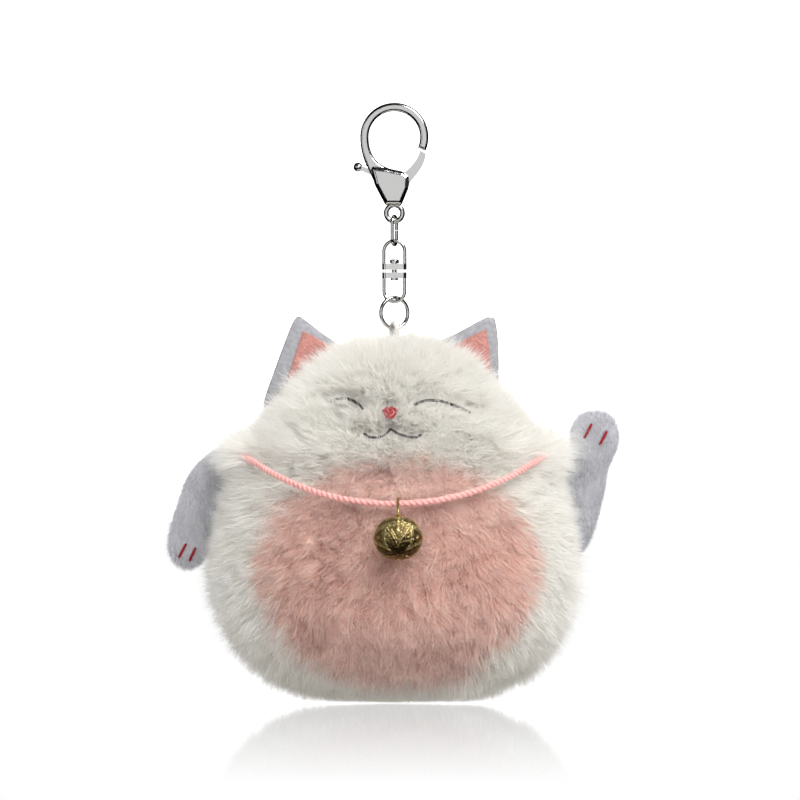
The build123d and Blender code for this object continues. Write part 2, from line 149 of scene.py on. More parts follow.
BRASS_WIRE = material("antique_brass_wire", (0.86, 0.62, 0.26), 0.32, 1.0)
bump(BRASS_WIRE, 800, 0.1, 0.00005)


# ------------------------------------------------------------------ meshes
def mesh_object(name, verts, faces, mat, body, tint=None, smooth=True):
    """A mesh in millimetres, placed in the row frame, that moves with a CAD body."""
    mesh = bpy.data.meshes.new(name)
    mesh.from_pydata(
        (np.asarray(verts, float) * MM).tolist(), [], faces if isinstance(faces, list) else faces.tolist()
    )
    mesh.materials.append(mat)
    if tint is not None:
        layer = mesh.color_attributes.new("tint", "FLOAT_COLOR", "POINT")
        rgba = np.ones((len(verts), 4), np.float32)
        rgba[:, :3] = np.clip(tint, 0, 1)
        layer.data.foreach_set("color", rgba.ravel())
    mesh.shade_smooth() if smooth else mesh.shade_flat()
    obj = bpy.data.objects.new(name, mesh)
    bpy.context.scene.collection.objects.link(obj)
    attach(obj, body)
    return obj


def unit(v):
    return v / np.maximum(np.linalg.norm(v, axis=-1, keepdims=True), 1e-9)


def ring_faces(rows, columns, closed_rows=False):
    """Quads between rows of a tube's rings, each ring closed."""
    r = np.arange(rows if closed_rows else rows - 1)[:, None]
    c = np.arange(columns)[None, :]
    nxt, r2 = (c + 1) % columns, (r + 1) % rows
    return np.stack(
        [r * columns + c, r * columns + nxt, r2 * columns + nxt, r2 * columns + c], -1
    ).reshape(-1, 4)


def resample(points, step):
    """A smooth curve through the points, as points one step apart (Catmull-Rom)."""
    p = np.asarray(points, float)
    p = np.vstack([2 * p[0] - p[1], p, 2 * p[-1] - p[-2]])
    t = np.linspace(0, 1, 24, endpoint=False)[:, None]
    out = []
    for a, b, c, d in zip(p, p[1:], p[2:], p[3:]):
        out.append(0.5 * (
            2 * b + (c - a) * t + (2 * a - 5 * b + 4 * c - d) * t**2 + (3 * b - a - 3 * c + d) * t**3
        ))
    out = np.vstack([*out, p[-2][None]])
    along = np.concatenate([[0], np.cumsum(np.linalg.norm(np.diff(out, axis=0), axis=1))])
    count = max(3, int(along[-1] / step) + 1)
    at = np.linspace(0, along[-1], count)
    return np.stack([np.interp(at, along, out[:, k]) for k in range(out.shape[1])], 1), at


def frames_along(path):
    """Unit tangent and two side vectors at each point, without twist."""
    tangent = unit(np.gradient(path, axis=0))
    side = np.zeros_like(path)
    guess = np.array([0, 0, 1.0]) if abs(tangent[0, 2]) < 0.9 else np.array([0, 1.0, 0])
    side[0] = unit(np.cross(tangent[0], guess))
    for i in range(1, len(path)):
        side[i] = unit(side[i - 1] - tangent[i] * np.dot(side[i - 1], tangent[i]))
    return tangent, side, np.cross(tangent, side)


def twisted(name, points, radius, plies, pitch, mat, body, step=0.18, around=30, groove=0.22, shades=None):
    """Yarn or thread: a tube whose section has rounded plies that turn as it runs on. Given shades, its
    colour has painted shade in the grooves and painted light on the crests.
    """
    path, at = resample(points, step)
    _, side, up = frames_along(path)
    angle = np.linspace(0, 2 * math.pi, around, endpoint=False)[None, :]
    turn = (2 * math.pi / pitch) * at[:, None]
    ply = np.abs(np.cos(plies * (angle - turn) / 2))
    fibre = 0.035 * np.sin(9 * plies * (angle + 1.4 * turn))
    r = radius * (1 - groove + groove * ply**0.5 + fibre * groove * 2)
    taper = np.clip(np.minimum(at, at[-1] - at) / (0.8 * radius), 0.02, 1) ** 0.5
    r = r * taper[:, None]
    ring = path[:, None] + r[..., None] * (
        np.cos(angle)[..., None] * side[:, None] + np.sin(angle)[..., None] * up[:, None]
    )
    tint = None
    # painted shade and light: the colour runs from shades[0] in the grooves to shades[1] on the crests and
    # fibres
    if shades is not None:
        crest = np.clip(ply**0.7 + 3 * fibre, 0, 1)[..., None]
        tint = (shades[0] * (1 - crest) + shades[1] * crest).reshape(-1, 3)
    faces = ring_faces(len(path), around)
    return mesh_object(name, ring.reshape(-1, 3), faces, mat, body, tint), path, at


def strands(
    roots, normals, comb, length, width, tint, levels=3, clump=None, clump_pull=0.6, curl=0.5, lift=0.6
):
    """Tapered ribbons. comb is each one's direction along the surface; lift is how far they stand up."""
    n = len(roots)
    t = np.linspace(0, 1, levels)[None, :, None]
    length = length[:, None, None]
    fuzz = rng.normal(0, 1, (n, 1, 3)) * curl
    lift = np.asarray(lift).reshape(-1, 1, 1)
    heading = unit(normals * lift[:, 0] + comb * (1 - lift[:, 0]) + 0.22 * fuzz[:, 0])
    droop = comb[:, None] * (0.45 * t**2) + fuzz * 0.16 * t**2
    line = roots[:, None] + length * (heading[:, None] * t + droop)
    if clump is not None:
        centre = clump[:, None] + length * (
            unit(normals * lift[:, 0] + comb * (1 - lift[:, 0]))[:, None] * t * 1.05
        )
        pull = clump_pull * t**1.3
        line = line * (1 - pull) + (centre + comb[:, None] * length * 0.42 * t**2) * pull
    across = unit(np.cross(heading, rng.normal(0, 1, (n, 3))))[:, None]
    half = 0.5 * width[:, None, None] * (1 - t[:, :-1] ** 1.6)
    left, right = line[:, :-1] - across * half, line[:, :-1] + across * half
    verts = np.concatenate([np.stack([left, right], 2).reshape(n, -1, 3), line[:, -1:]], 1)
    per = 2 * (levels - 1) + 1
    base = np.arange(n)[:, None] * per
    quads = [
        np.stack([base + 2 * k, base + 2 * k + 1, base + 2 * k + 3, base + 2 * k + 2], -1).reshape(-1, 4)
        for k in range(levels - 2)
    ]
    tips = np.stack([base + per - 3, base + per - 2, base + per - 1], -1).reshape(-1, 3)
    faces = np.vstack(quads).tolist() + tips.tolist()
    shade = np.repeat(np.linspace(0, 1, levels)[:-1], 2).tolist() + [1.0]
    shade = np.array(shade)[None, :, None]
    root_tint, tip_tint = tint
    colors = root_tint[:, None] * (1 - shade) + tip_tint[:, None] * shade
    return verts.reshape(-1, 3), faces, colors.reshape(-1, 3)


# ------------------------------------------------------------------ the cat's body
PILE = 5.6
FLOOR_Z = -0.1806
TIP_PROFILE = np.array([  # radius and height of the tips of the fur
    (0, -62.6), (14, -64.6), (27, -71.2), (38.0, -83.2), (46.6, -95.0), (51.6, -104.0), (56.4, -119.0),
    (59.3, -137.0), (58.2, -149.0), (53.4, -159.6), (46.4, -168.2), (37.4, -174.4), (24, -178.6), (0, -180.2),
])
profile, _ = resample(TIP_PROFILE, 0.5)
slope = unit(np.gradient(profile, axis=0))
outward = np.stack([-slope[:, 1], slope[:, 0]], 1)
core = profile - PILE * outward
core[:, 0] = np.maximum(core[:, 0], 0)
arc = np.concatenate([[0], np.cumsum(np.linalg.norm(np.diff(core, axis=0), axis=1))])
BELLY_AT, BELLY_RADII = np.array((1.2, -137.2)), np.array((40.4, 33.2))
NECK_Z = -104.0


def smooth_noise(points, size, seed):
    """Gentle noise from a few sine waves, from -1 to 1."""
    waves = np.random.default_rng(seed)
    total = 0
    for _ in range(5):
        k = waves.normal(0, 1, 3)
        total = total + np.sin(
            points @ (k / np.linalg.norm(k) / size * waves.uniform(0.7, 1.6)) + waves.uniform(0, 6.3)
        )
    return total / 3.2


def body_points(phi, s):
    """Backing-cloth points, outward normals and downhill directions. phi is 0 at the front."""
    r, z = np.interp(s, arc, core[:, 0]), np.interp(s, arc, core[:, 1])
    nr, nz = np.interp(s, arc, outward[:, 0]), np.interp(s, arc, outward[:, 1])
    dr, dz = np.interp(s, arc, slope[:, 0]), np.interp(s, arc, slope[:, 1])
    cx, cy = np.sin(phi), -np.cos(phi)
    p = np.stack([r * cx, r * cy, z], -1)
    n = np.stack([nr * cx, nr * cy, nz], -1)
    d = np.stack([dr * cx, dr * cy, dz], -1)
    front = np.clip(np.cos(phi), 0, 1)
    cheeks = 1.3 * np.exp(-(((np.abs(p[..., 0]) - 22) / 16) ** 2 + ((z + 96) / 9) ** 2)) * front
    chin = -2.0 * np.exp(-(((z + 100.5 + 7.0 * front) / 3.6) ** 2)) * (0.35 + 0.65 * front)
    lumps = 0.6 * smooth_noise(p, 14, 3)
    p = p + n * (cheeks + chin + lumps)[..., None]
    return p, n, d


def in_belly(p):
    edge = np.linalg.norm((p[:, [0, 2]] - BELLY_AT) / BELLY_RADII, axis=1)
    return (p[:, 1] < 0) & (edge + 0.06 * rng.normal(size=len(p)) + 0.03 * smooth_noise(p, 5, 9) < 1)


# what keeps the fur short round it: the embroidery on the face, in X and Z
EYE_LEFT = [(-20.5, -84.4), (-17.6, -83.5), (-14.5, -83.6), (-11.8, -84.9), (-9.6, -86.8)]
EYE_RIGHT = [(6.2, -85.5), (9.0, -84.3), (11.8, -84.0), (15.6, -84.5), (19.6, -85.9), (24.2, -88.0)]
MOUTH = [(-9.7, -94.4), (-7.8, -95.6), (-4.8, -95.6), (-2.6, -94.6), (-1.1, -93.2), (1.0, -94.4),
         (3.9, -95.4),
         (6.9, -95.7), (8.6, -94.7)]
NOSE = (-1.3, -88.0)
stitch_lines = np.vstack(
    [resample(line, 0.5)[0] for line in (EYE_LEFT, EYE_RIGHT, MOUTH)]
    + [[NOSE], [(NOSE[0] - 1.5, NOSE[1] + 1)], [(NOSE[0] + 1.5, NOSE[1] + 1)]]
)
stitch_tree = kdtree.KDTree(len(stitch_lines))
for i, (x, z) in enumerate(stitch_lines):
    stitch_tree.insert((x, 0, z), i)
stitch_tree.balance()


def near_stitches(p):
    gap = np.full(len(p), 99.0)
    for i in np.nonzero((p[:, 1] < -20) & (p[:, 2] > -104))[0]:
        gap[i] = stitch_tree.find((p[i, 0], 0, p[i, 2]))[2]
    return gap


IVORY_ROOT, IVORY_TIP = np.array((0.96, 0.93, 0.87)), np.array((1.0, 0.985, 0.945))
# painted shade: the tip colour that the ivory fur fades to towards the bottom, where shade falls
PAINTED_SHADE_TIP = np.array((0.90, 0.88, 0.82))
PINK_ROOT, PINK_TIP = np.array((0.84, 0.43, 0.33)), np.array((1.0, 0.76, 0.67))


def sample_body(count, phi_range, z_range):
    """Root parameters spread evenly over a patch of the body."""
    weight = np.clip(core[:, 0], 0.01, None) * ((core[:, 1] <= z_range[1]) & (core[:, 1] > z_range[0]))
    total = np.concatenate([[0], np.cumsum(weight[:-1] * np.diff(arc))])
    s = np.interp(rng.uniform(0, total[-1], count), total, arc)
    return rng.uniform(*phi_range, count), s


def grow(name, count, phi_range, z_range, keep, cad_nodes, belly=False):
    phi, s = sample_body(count, phi_range, z_range)
    p, n, d = body_points(phi, s)
    chosen = keep(p)
    p, n, d = p[chosen], n[chosen], d[chosen]
    total = len(p)
    centres_phi, centres_s = sample_body(max(60, total // 24), phi_range, z_range)
    c, _, _ = body_points(centres_phi, centres_s)
    tree = kdtree.KDTree(len(c))
    for i, point in enumerate(c):
        tree.insert(point, i)
    tree.balance()
    found = [tree.find(point) for point in p]
    clump = c[[f[1] for f in found]]
    away = np.array([f[2] for f in found])
    which = np.array([f[1] for f in found])
    clump_tone = rng.normal(0, 1, len(c))[which]
    clump_size = rng.uniform(0.78, 1.18, len(c))[which]
    clump_lean = rng.normal(0, 1, (len(c), 3))[which]
    sideways = np.cross(n, d)
    comb = unit(
        d + sideways * (0.5 * smooth_noise(p, 6, 21))[:, None]
        + 0.75 * rng.normal(size=(total, 3)) + 0.55 * clump_lean
    )
    length = PILE * rng.uniform(0.75, 1.2, total) * clump_size * (1 + 0.12 * smooth_noise(p, 5, 5))
    lift = np.full(total, 0.80) + 0.08 * smooth_noise(p, 8, 31)
    if belly:
        comb = unit(
            np.array((0, 0, -1.0)) + 0.6 * sideways * smooth_noise(p, 4, 8)[:, None]
            + 0.5 * rng.normal(size=(total, 3)) + 0.6 * clump_lean
        )
        comb = unit(comb - n * np.sum(comb * n, 1, keepdims=True))
        lift, length = lift - 0.06, length * 0.98
    over_cord = np.exp(-(((p[:, 2] + 101) / 5) ** 2)) * np.clip((np.abs(p[:, 0]) - 37.5) / 5, 0, 1)
    length *= 1 + 1.4 * over_cord
    gap = near_stitches(p)
    length *= np.interp(gap, (0.9, 2.6), (0.45, 1.0))
    width = rng.uniform(0.14, 0.26, total)
    tone = ((0.07 if belly else 0.045) * rng.normal(size=total) + 0.022 * clump_tone)[:, None]
    # low drives painted shade: the fur is darkened towards the bottom of the cat, where shade falls
    low = np.clip((-150 - p[:, 2]) / 26, 0, 1)[:, None]
    high = np.clip((p[:, 2] + 128) / 18, 0, 1)[:, None]
    if belly:
        streak = np.clip(
            0.5 + 0.5 * smooth_noise(p * (1, 1, 0.25), 2.2, 44) + 0.25 * rng.normal(size=total), 0, 1
        )[:, None]
        # painted shade: the pink roots and tips are darker towards the bottom
        root = PINK_ROOT * (0.9 + 0.3 * streak) * (1 - 0.22 * low)
        tip = (
            (PINK_TIP * (0.86 + 0.12 * streak) + np.array((0.02, 0.13, 0.13)) * streak**2)
            * (1 - 0.14 * low)
        )
        # some strands have pale ends
        frost = 0.65 * (rng.uniform(size=(total, 1)) < 0.3) * rng.uniform(0.4, 1, (total, 1))
        root, tip = root + (1 - root) * 0.16 * high, tip + (1 - tip) * np.clip(0.16 * high + frost, 0, 1)
    else:
        # painted shade: the ivory roots and tips are darker towards the bottom
        root = IVORY_ROOT * (1 - 0.2 * low)
        tip = IVORY_TIP * (1 - low) + PAINTED_SHADE_TIP * low
    verts, faces, colors = strands(p, n, comb, length, width, (root + tone, tip + tone), clump=clump,
                                   clump_pull=np.clip(0.66 - 0.10 * away, 0.25, 0.66)[:, None, None],
                                   curl=0.55, lift=lift)
    verts[:, 2] = np.maximum(verts[:, 2], FLOOR_Z / MM + rng.uniform(0.1, 0.4, len(verts)))
    obj = mesh_object(name, verts, faces, FUR, "plush", colors, smooth=False)
    if cad_nodes:
        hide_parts(*cad_nodes)
    return obj


THICK = 1.0
PI = math.pi
TOP, BOTTOM = -55, -185


def head(p):
    return p[:, 2] > NECK_Z - 2


def torso(p):
    return (p[:, 2] <= NECK_Z - 2) & ~in_belly(p)


pieces = [
    ("fur_face_left", 62000, (-PI / 2, 0), (NECK_Z - 6, TOP), head, ["face_panel"], False),
    ("fur_face_right", 62000, (0, PI / 2), (NECK_Z - 6, TOP), head, [], False),
    ("fur_head_back", 62000, (PI / 2, 3 * PI / 2), (NECK_Z - 6, TOP), head, ["head_back_panel"], False),
    ("fur_left_front", 72000, (-PI / 2, 0), (BOTTOM, NECK_Z), torso, ["body_left_panel"], False),
    ("fur_right_front", 72000, (0, PI / 2), (BOTTOM, NECK_Z), torso, ["body_right_panel"], False),
    ("fur_left_back", 62000, (-PI, -PI / 2), (BOTTOM, NECK_Z), torso, [], False),
    ("fur_right_back", 62000, (PI / 2, PI), (BOTTOM, NECK_Z), torso, ["base_panel"], False),
    ("fur_belly_upper", 95000, (-0.95, 0.95), (BELLY_AT[1], -100), in_belly, ["belly_panel"], True),
    ("fur_belly_lower", 95000, (-0.95, 0.95), (-180, BELLY_AT[1]), in_belly, [], True),
]
for name, count, phis, zs, keep, cad, belly in pieces:
    grow(name, int(count * THICK), phis, zs, keep, cad, belly)

# the backing cloth that the pile grows from
rows, columns = 150, 220
phi_grid, s_grid = np.meshgrid(
    np.linspace(0, 2 * PI, columns, endpoint=False), np.linspace(0.02, arc[-1] - 0.02, rows)
)
cloth, _, _ = body_points(phi_grid, s_grid)
cloth = cloth.reshape(-1, 3)
pink = in_belly(cloth)[:, None]
cloth_tint = np.where(pink, PINK_ROOT * 0.9, IVORY_ROOT * 0.85)
cloth_obj = mesh_object("backing_cloth", cloth, ring_faces(rows, columns), CLOTH_BASE, "plush", cloth_tint)
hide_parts("body_stuffing")


# ------------------------------------------------------------------ arms and tail in short pile
def limb(
    name, stations, depth, body, cad, y, length=1.5, count=26000,
    tint=((0.66, 0.66, 0.69), (0.86, 0.86, 0.885)),
):
    """A stuffed limb: an oval tube with short fur. Stations are X, Z and half width along its middle."""
    line, _ = resample(
        [(x, y if np.isscalar(y) else y[i], z, w) for i, (x, z, w) in enumerate(stations)], 0.5
    )
    path, half = line[:, :3], line[:, 3]
    tangent = unit(np.gradient(path, axis=0))
    side = unit(np.cross(tangent, np.array([0, 1.0, 0])))
    up = np.cross(side, tangent)
    around = 64
    angle = np.linspace(0, 2 * PI, around, endpoint=False)[None, :, None]
    deep = (depth * np.minimum(1, half / half.max()) ** 0.6)[:, None, None]
    ring = (
        path[:, None] + half[:, None, None] * np.cos(angle) * side[:, None]
        + deep * np.sin(angle) * up[:, None]
    )
    verts = ring.reshape(-1, 3)
    faces = ring_faces(len(path), around)
    base_tint = np.tile(np.array(tint[0]), (len(verts), 1))
    skin = mesh_object(name, verts, faces, CLOTH_BASE, body, base_tint)
    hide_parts(*cad)
    quad = verts[faces]
    area = np.linalg.norm(np.cross(quad[:, 2] - quad[:, 0], quad[:, 3] - quad[:, 1]), axis=1)
    pick = rng.choice(len(faces), int(count * THICK), p=area / area.sum())
    u, v = rng.uniform(size=(2, len(pick), 1))
    q = quad[pick]
    p = (q[:, 0] * (1 - u) + q[:, 1] * u) * (1 - v) + (q[:, 3] * (1 - u) + q[:, 2] * u) * v
    n = unit(np.cross(q[:, 2] - q[:, 0], q[:, 3] - q[:, 1]))
    middle = path[np.clip(pick // around, 0, len(path) - 1)]
    n = n * np.sign(np.sum(n * (p - middle), 1, keepdims=True) + 1e-9)
    along = tangent[np.clip(pick // around, 0, len(path) - 1)]
    comb = unit(along + np.cross(n, along) * 0.5 + 0.3 * rng.normal(size=p.shape))
    tone = (0.09 * rng.normal(size=len(p)) + 0.05 * smooth_noise(p, 1.6, 2))[:, None]
    verts, faces, colors = strands(
        p, n, comb, length * rng.uniform(0.7, 1.25, len(p)), rng.uniform(0.10, 0.2, len(p)),
        (np.array(tint[0]) + tone, np.array(tint[1]) + tone), levels=3, curl=0.5, lift=0.5,
    )
    pile = mesh_object(name + "_pile", verts, faces, PLUSH, body, colors, smooth=False)
    return skin


ARM_Y = 5.5
LEFT = [
    (-50.5, -99.6, 1.0), (-52.0, -101.2, 3.4), (-55.4, -105.4, 5.4), (-59.4, -110.8, 6.2),
    (-62.0, -117.0, 6.2),
    (-64.2, -123.6, 6.1), (-65.5, -129.4, 6.0), (-66.0, -133.2, 5.0), (-66.2, -135.8, 2.6),
    (-66.2, -136.6, 0.2),
]
RIGHT = [
    (58.8, -132.6, 0.8), (59.0, -129.0, 2.8), (59.8, -120.4, 4.9), (60.8, -112.6, 5.7),
    (61.9, -105.0, 5.8),
    (63.0, -100.6, 6.6), (63.9, -96.0, 7.2), (64.2, -92.0, 6.2), (64.3, -89.4, 3.8), (64.3, -88.5, 0.3),
]
limb("arm_left_plush", LEFT, 3.6, "arm_left", ["arm_left_skin", "arm_left_stuffing"], ARM_Y)
limb("arm_right_plush", RIGHT, 3.6, "arm_right", ["arm_right_skin", "arm_right_stuffing"], ARM_Y)
TAIL = [(8, -162.5, 4.6), (12, -165.2, 5.2), (18, -168.8, 5.4), (23.5, -172.0, 5.2), (27.2, -173.8, 4.0),
        (29.6, -174.6, 1.8), (30.2, -174.8, 0.2)]
TAIL_Y = [41, 38, 32, 26, 22.5, 20.4, 19.8]
limb("tail_plush", TAIL, 5.2, "plush", ["tail"], TAIL_Y, count=14000)


# ------------------------------------------------------------------ embroidery
def face_y(x, z, depth):
    """Y of a point on the front of the cat, so far under the tips of its fur."""
    rise = profile[: len(profile) // 2 + 40]
    order = np.argsort(rise[:, 1])
    r = np.interp(z, rise[order, 1], rise[order, 0]) - depth
    return -math.sqrt(max(r * r - x * x, 1.0))


def satin(name, line, radius, mat, body, cad, depths):
    """A line of stitching that sinks in the pile from the first depth to the second."""
    pts = [(x, face_y(x, z, d), z) for (x, z), d in zip(line, np.linspace(*depths, len(line)))]
    obj, _, _ = twisted(name, pts, radius, 2, 1.1, mat, body, step=0.08, around=20, groove=0.16)
    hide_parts(cad)


satin("eye_left_thread", EYE_LEFT, 0.50, DARK, "plush", "eye_left_stitching", (2.5, 1.5))
satin("eye_right_thread", EYE_RIGHT, 0.50, DARK, "plush", "eye_right_stitching", (1.5, 2.6))
satin("mouth_thread", MOUTH, 0.44, DARK, "plush", "mouth_stitching", (2.4, 1.5))

# the nose: side by side stitches that fill a rounded triangle
for i in range(9):
    u = -1 + 2 * i / 8
    high, low = 1.9 - 0.75 * u * u + 0.25 * math.sin(9 * u), -2.1 + 2.2 * u * u
    x = NOSE[0] + 2.35 * u * 0.92
    pts = [(x * 1.0 - 0.1 * u * k, face_y(x, NOSE[1] + z, 0.9) - 0.35 * math.sin(PI * k), NOSE[1] + z)
           for k, z in zip(np.linspace(0, 1, 6), np.linspace(high, min(low, high - 0.8), 6))]
    obj, _, _ = twisted(
        f"nose_thread_{i}", pts, 0.42, 2, 0.9, RED, "plush", step=0.08, around=14, groove=0.16
    )
    if i == 0:
        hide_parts("nose_stitching")

CLAWS = {
    "left": [((-66.4, -129.6), (-68.8, -134.3)), ((-63.4, -130.9), (-65.4, -135.4))],
    "right": [((63.1, -91.4), (60.5, -96.1)), ((67.9, -93.8), (65.4, -98.4))],
}
for side, pairs in CLAWS.items():
    for i, (a, b) in enumerate(pairs):
        pts = [(a[0] + (b[0] - a[0]) * k, ARM_Y - 3.4 - 1.1 * math.sin(PI * (0.15 + 0.7 * k)),
                a[1] + (b[1] - a[1]) * k)
               for k in np.linspace(0, 1, 6)]
        obj, _, _ = twisted(
            f"claw_{side}_{i}", pts, 0.46, 2, 1.0, RED, f"arm_{side}", step=0.1, around=16, groove=0.16
        )
        if i == 0:
            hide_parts(f"arm_{side}_claw_stitches")


# ------------------------------------------------------------------ ears
def ear(side, corners, lining_corners):
    """Felt cut to a triangle and rounded at its edge, with a woven lining in front."""
    for label, points, thick, y0, mat, cad in (
        ("felt", corners, 2.2, -0.1, FELT, f"ear_{side}_felt"),
        ("lining", lining_corners, 0.7, -1.5, LINING, f"ear_{side}_lining"),
    ):
        loop, _ = resample([*points, points[0]], 0.35)
        loop = loop[:-1]
        middle = loop.mean(0)
        shells = []
        for inset, y in ((0.0, 0.0), (0.05, 0.33), (0.16, 0.5), (0.5, 0.56), (0.97, 0.58)):
            shrunk = loop + (middle - loop) * (inset * min(1.0, thick / 2.2 + 0.2))
            if inset > 0.9:
                shrunk = loop + (middle - loop) * 0.97
            shells.append((shrunk, y))
        rings = [(q, -y) for q, y in reversed(shells)] + [(q, y) for q, y in shells[1:]]
        verts = np.vstack([
            np.column_stack([q[:, 0], np.full(len(q), y0 + thick * y), q[:, 1]]) for q, y in rings
        ])
        faces = ring_faces(len(rings), len(loop)).tolist()
        faces += [list(range(len(loop)))[::-1], list(range(len(verts) - len(loop), len(verts)))]
        obj = mesh_object(f"ear_{side}_{label}_cloth", verts, faces, mat, f"ear_{side}")
        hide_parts(cad)


ear(
    "left",
    [
        (-31.2, -57.4), (-29.6, -57.6), (-23.0, -62.6), (-15.9, -67.8), (-18, -71), (-28, -76), (-38, -85),
        (-41.8, -85.4), (-38.0, -73.6), (-33.0, -60.4),
    ],
    [
        (-29.2, -61.8), (-24.0, -64.6), (-19.0, -68.0), (-21, -71), (-28, -76), (-34.4, -79.6),
        (-32.4, -71.8),
    ],
)
ear(
    "right",
    [
        (30.7, -57.6), (32.2, -58.6), (33.2, -67.0), (33.0, -79.4), (30, -79), (24, -74), (16, -69),
        (13.6, -65.8), (20.6, -62.2), (28.8, -57.8),
    ],
    [(29.2, -61.2), (30.4, -69.0), (30.2, -77.6), (24, -74), (18, -69.6), (16.2, -68.0), (21.8, -65.0)],
)

# ------------------------------------------------------------------ neck cord and white loop
CORD_HALF = [
    (1.7, 52.9, -98.6), (21.5, 48.3, -98.6), (39.3, 35.4, -98.8), (49.2, 16.4, -99.2),
    (51.0, -5.4, -100.4), (45.6, -25.6, -102.8), (36.6, -43.0, -108.4), (20.6, -55.7, -114.6),
]
CORD_ROUTE = [*CORD_HALF, (0, -60.7, -117.2), *[(-x, y, z) for x, y, z in reversed(CORD_HALF)]]
# painted shade in the cord's grooves and painted light on its crests
CORD_GROOVE_SHADE_CREST_LIGHT = np.array(((0.46, 0.13, 0.12), (0.93, 0.47, 0.43)))


def smooth_route(points):
    """The points that a smooth spline gives, in millimetres, with the route's points to steer it."""
    curve = bpy.data.curves.new("route", "CURVE")
    curve.dimensions = "3D"
    curve.resolution_u = 16
    spline = curve.splines.new("NURBS")
    spline.points.add(len(points) - 1)
    for point, place in zip(spline.points, points):
        point.co = (*place, 1)
    spline.order_u, spline.use_endpoint_u = 3, True
    holder = bpy.data.objects.new("route", curve)
    mesh = bpy.data.meshes.new_from_object(holder)
    line = np.array([v.co[:] for v in mesh.vertices])
    bpy.data.objects.remove(holder)
    bpy.data.meshes.remove(mesh)
    bpy.data.curves.remove(curve)
    return line


cord_line = smooth_route(CORD_ROUTE)
cord_obj, cord_path, _ = twisted("neck_cord_yarn", cord_line, 1.0, 2, 3.8, YARN_PLIES, "plush",
                                 step=0.3,
                                       around=36, groove=0.40, shades=CORD_GROOVE_SHADE_CREST_LIGHT)
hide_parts("neck_cord")
for name in ("cord_knot", "cord_ends"):
    nodes[name].data.materials.clear()
    nodes[name].data.materials.append(YARN)

fuzz_count = int(5200 * THICK)
pick = rng.integers(2, len(cord_path) - 2, fuzz_count)
around_cord = unit(rng.normal(size=(fuzz_count, 3)))
cord_tangent = unit(np.gradient(cord_path, axis=0))[pick]
around_cord = unit(around_cord - cord_tangent * np.sum(around_cord * cord_tangent, 1, keepdims=True))
yarn_tint = np.tile(np.array((0.96, 0.58, 0.54)), (fuzz_count, 1))
verts, faces, colors = strands(
    cord_path[pick] + 0.7 * around_cord, around_cord, cord_tangent * rng.choice([-1, 1], (fuzz_count, 1)),
    rng.uniform(0.5, 1.5, fuzz_count), rng.uniform(0.05, 0.09, fuzz_count), (yarn_tint * 0.9, yarn_tint),
                               curl=1.2, lift=0.45)
mesh_object("neck_cord_fuzz", verts, faces, PLUSH, "plush", colors, smooth=False)

yaw = math.radians(29)
arch = [(0, -1.65, -66.2), (0, -1.65, -63.5), (0, -1.65, -61.05)]
arch += [(0, -1.65 * math.cos(a), -61.05 + 1.65 * math.sin(a)) for a in np.linspace(0.25, PI - 0.25, 9)]
arch += [(0, 1.65, -61.05), (0, 1.65, -63.5), (0, 1.65, -66.2)]
arch = [(-y * math.sin(yaw), y * math.cos(yaw), z) for _, y, z in arch]
loop_obj, _, _ = twisted("hanging_loop_cord", arch, 0.9, 3, 3.0, WHITE_CORD_WITH_PAINTED_SHADE, "plush", step=0.12, groove=0.2)
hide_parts("hanging_loop")

# ------------------------------------------------------------------ bell
BELL = np.array((1.2, -68.5, -127.3))
TILT = math.radians(40)
bell_x, bell_z = np.array((1.0, 0, 0)), np.array((0, math.sin(TILT), math.cos(TILT)))
bell_y = np.cross(bell_z, bell_x)
GOLD, PATINA = np.array((1.0, 0.80, 0.36)), np.array((0.34, 0.24, 0.09))


def relief(lon, lat):
    """Embossing on the bell: straps that cross in triangles, with a curl in each and a band round the rim."""
    petals = 6
    cell = (lon * petals / (2 * PI)) % 1
    height = np.clip((lat - 0.12) / 1.12, 0, 1.2)
    strap = np.exp(-((np.abs(cell - 0.5) * 2 - height * 1.05) / 0.09) ** 2) * (height < 1.0)
    strap2 = 0.6 * np.exp(-((np.abs(cell - 0.5) * 2 - height * 1.05 - 0.24) / 0.06) ** 2) * (height < 0.8)
    curl_r = np.hypot((cell - 0.5) * 1.35, (height - 0.42) * 0.95)
    curl_a = np.arctan2(height - 0.42, cell - 0.5)
    scroll = np.exp(-((np.sin(curl_r * 26 + curl_a) - 0.75) / 0.5) ** 2) * (curl_r < 0.2)
    corner = np.hypot((np.abs(cell - 0.5) - 0.5) * 1.2, height - 0.24)
    dots = np.exp(-((corner / 0.09) ** 2))
    band = np.exp(-((lat - 0.10) / 0.035) ** 2)
    return np.clip(strap + strap2 + 0.8 * scroll + dots + band, 0, 1.15)


